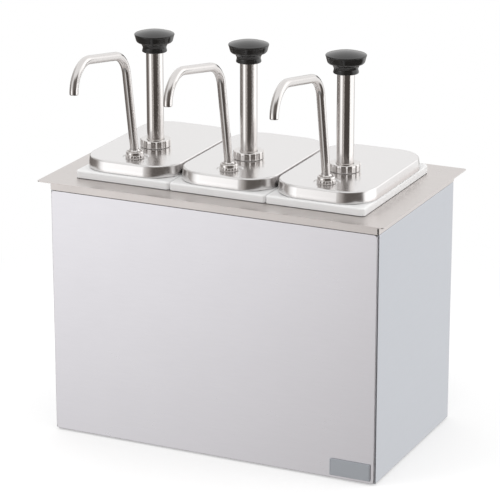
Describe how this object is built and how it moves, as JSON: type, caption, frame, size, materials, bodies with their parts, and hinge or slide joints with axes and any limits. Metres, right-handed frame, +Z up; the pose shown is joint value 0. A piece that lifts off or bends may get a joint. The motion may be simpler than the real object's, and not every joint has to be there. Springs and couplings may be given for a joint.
{
  "type": "condiment pump dispenser",
  "caption": "Free-standing folded-steel cabinet whose top plate carries lidded plastic jars, each with a plunger pump and a bent discharge tube over the front.",
  "frame": {"origin": "on the counter plane, below the centre of the whole object's box", "axes": "+Z up; -Y to the front, the way the discharge tubes point; +X to the right seen from the front"},
  "size_m": [0.4194, 0.3298, 0.4645],
  "materials": {
    "steel_front_panel": "horizontally brushed stainless, satin",
    "steel_cabinet": "brushed stainless, satin",
    "steel_top_plate": "fine brushed stainless, satin",
    "steel_lid": "fine brushed stainless, semi-bright",
    "steel_pump": "polished stainless with faint turning marks",
    "jar_white_plastic": "moulded white, satin",
    "knob_black_plastic": "moulded black, glossy",
    "valve_plastic": "moulded off-white",
    "seal_rubber": "matt black rubber",
    "foot_rubber": "matt black rubber",
    "nameplate_silver": "blank satin plate"
  },
  "bodies": {
    "cabinet": {"front_panel": "steel_front_panel", "back_panel": "steel_cabinet", "side_panel_left": "steel_cabinet", "side_panel_right": "steel_cabinet", "base_panel": "steel_cabinet", "skirt_frame": "steel_top_plate", "top_plate": "steel_top_plate", "nameplate": "nameplate_silver", "foot_front_left": "foot_rubber", "foot_front_right": "foot_rubber", "foot_back_left": "foot_rubber", "foot_back_right": "foot_rubber"},
    "jar_body_1": {"jar_1": "jar_white_plastic"},
    "pump_1": {"lid_1": "steel_lid", "lock_collar_1": "steel_pump", "cylinder_1": "steel_pump", "return_spring_1": "steel_pump", "valve_body_1": "valve_plastic", "discharge_tube_1": "steel_pump", "discharge_nut_1": "steel_pump"},
    "plunger_1": {"knob_1": "knob_black_plastic", "plunger_tube_1": "steel_pump", "piston_1": "valve_plastic", "piston_seal_1": "seal_rubber"},
    "intake_valve_1": {"intake_ball_1": "steel_pump"},
    "discharge_valve_1": {"discharge_ball_1": "steel_pump"},
    "jar_body_2": {"jar_2": "jar_white_plastic"},
    "pump_2": {"lid_2": "steel_lid", "lock_collar_2": "steel_pump", "cylinder_2": "steel_pump", "return_spring_2": "steel_pump", "valve_body_2": "valve_plastic", "discharge_tube_2": "steel_pump", "discharge_nut_2": "steel_pump"},
    "plunger_2": {"knob_2": "knob_black_plastic", "plunger_tube_2": "steel_pump", "piston_2": "valve_plastic", "piston_seal_2": "seal_rubber"},
    "intake_valve_2": {"intake_ball_2": "steel_pump"},
    "discharge_valve_2": {"discharge_ball_2": "steel_pump"},
    "jar_body_3": {"jar_3": "jar_white_plastic"},
    "pump_3": {"lid_3": "steel_lid", "lock_collar_3": "steel_pump", "cylinder_3": "steel_pump", "return_spring_3": "steel_pump", "valve_body_3": "valve_plastic", "discharge_tube_3": "steel_pump", "discharge_nut_3": "steel_pump"},
    "plunger_3": {"knob_3": "knob_black_plastic", "plunger_tube_3": "steel_pump", "piston_3": "valve_plastic", "piston_seal_3": "seal_rubber"},
    "intake_valve_3": {"intake_ball_3": "steel_pump"},
    "discharge_valve_3": {"discharge_ball_3": "steel_pump"}
  },
  "joints": [
    {"name": "jar_lift_1", "type": "slide", "parent": "cabinet", "child": "jar_body_1", "axis": [0, 0, 1], "range_m": [0, 0.245]},
    {"name": "pump_lift_1", "type": "slide", "parent": "jar_body_1", "child": "pump_1", "axis": [0, 0, 1], "range_m": [0, 0.245]},
    {"name": "plunger_press_1", "type": "slide", "parent": "pump_1", "child": "plunger_1", "axis": [0, 0, -1], "range_m": [0, 0.098], "stiffness_N_per_m": 120, "springref_m": -0.04, "deforming": ["return_spring_1"]},
    {"name": "intake_ball_lift_1", "type": "slide", "parent": "pump_1", "child": "intake_valve_1", "axis": [0, 0, 1], "range_m": [0, 0.004]},
    {"name": "discharge_ball_lift_1", "type": "slide", "parent": "pump_1", "child": "discharge_valve_1", "axis": [0, -0.1733, 0.9849], "range_m": [0, 0.004]},
    {"name": "jar_lift_2", "type": "slide", "parent": "cabinet", "child": "jar_body_2", "axis": [0, 0, 1], "range_m": [0, 0.245]},
    {"name": "pump_lift_2", "type": "slide", "parent": "jar_body_2", "child": "pump_2", "axis": [0, 0, 1], "range_m": [0, 0.245]},
    {"name": "plunger_press_2", "type": "slide", "parent": "pump_2", "child": "plunger_2", "axis": [0, 0, -1], "range_m": [0, 0.098], "stiffness_N_per_m": 120, "springref_m": -0.04, "deforming": ["return_spring_2"]},
    {"name": "intake_ball_lift_2", "type": "slide", "parent": "pump_2", "child": "intake_valve_2", "axis": [0, 0, 1], "range_m": [0, 0.004]},
    {"name": "discharge_ball_lift_2", "type": "slide", "parent": "pump_2", "child": "discharge_valve_2", "axis": [-0.0067, -0.1732, 0.9849], "range_m": [0, 0.004]},
    {"name": "jar_lift_3", "type": "slide", "parent": "cabinet", "child": "jar_body_3", "axis": [0, 0, 1], "range_m": [0, 0.245]},
    {"name": "pump_lift_3", "type": "slide", "parent": "jar_body_3", "child": "pump_3", "axis": [0, 0, 1], "range_m": [0, 0.245]},
    {"name": "plunger_press_3", "type": "slide", "parent": "pump_3", "child": "plunger_3", "axis": [0, 0, -1], "range_m": [0, 0.098], "stiffness_N_per_m": 120, "springref_m": -0.04, "deforming": ["return_spring_3"]},
    {"name": "intake_ball_lift_3", "type": "slide", "parent": "pump_3", "child": "intake_valve_3", "axis": [0, 0, 1], "range_m": [0, 0.004]},
    {"name": "discharge_ball_lift_3", "type": "slide", "parent": "pump_3", "child": "discharge_valve_3", "axis": [0, -0.1733, 0.9849], "range_m": [0, 0.004]}
  ]
}
